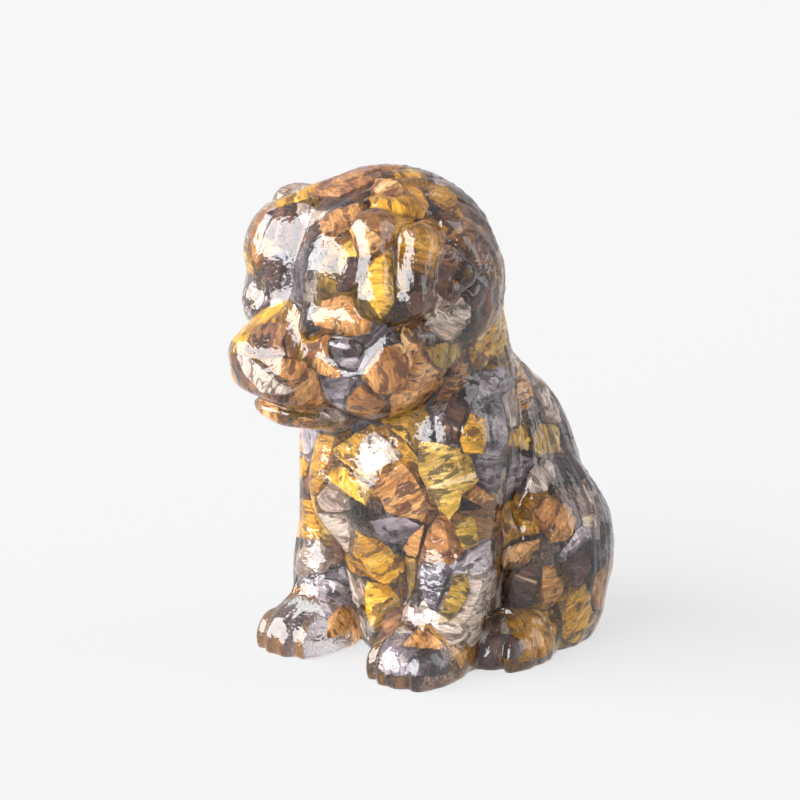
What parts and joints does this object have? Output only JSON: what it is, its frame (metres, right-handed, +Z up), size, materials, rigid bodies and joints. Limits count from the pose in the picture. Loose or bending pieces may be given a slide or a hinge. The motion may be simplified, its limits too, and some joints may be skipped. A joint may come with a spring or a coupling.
{
  "type": "resin pet figurine",
  "caption": "Seated puppy figurine cast solid in clear resin full of tumbled stone chips, head turned a little, ears folded down, standing on its flat underside.",
  "frame": {"origin": "middle of the footprint's box, on the surface the figurine stands on", "axes": "+Z up; the puppy's chest faces -Y; +X is the puppy's own left side"},
  "size_m": [0.0428, 0.0624, 0.0724],
  "materials": {
    "clear_resin": "clear glossy cast resin, full of golden brown tumbled stone chips",
    "tiger_eye_stone": "tumbled stone chips with silky golden, ochre and dark brown bands, sealed in the resin"
  },
  "bodies": {
    "root": {"puppy_casting": "clear_resin"}
  },
  "joints": []
}
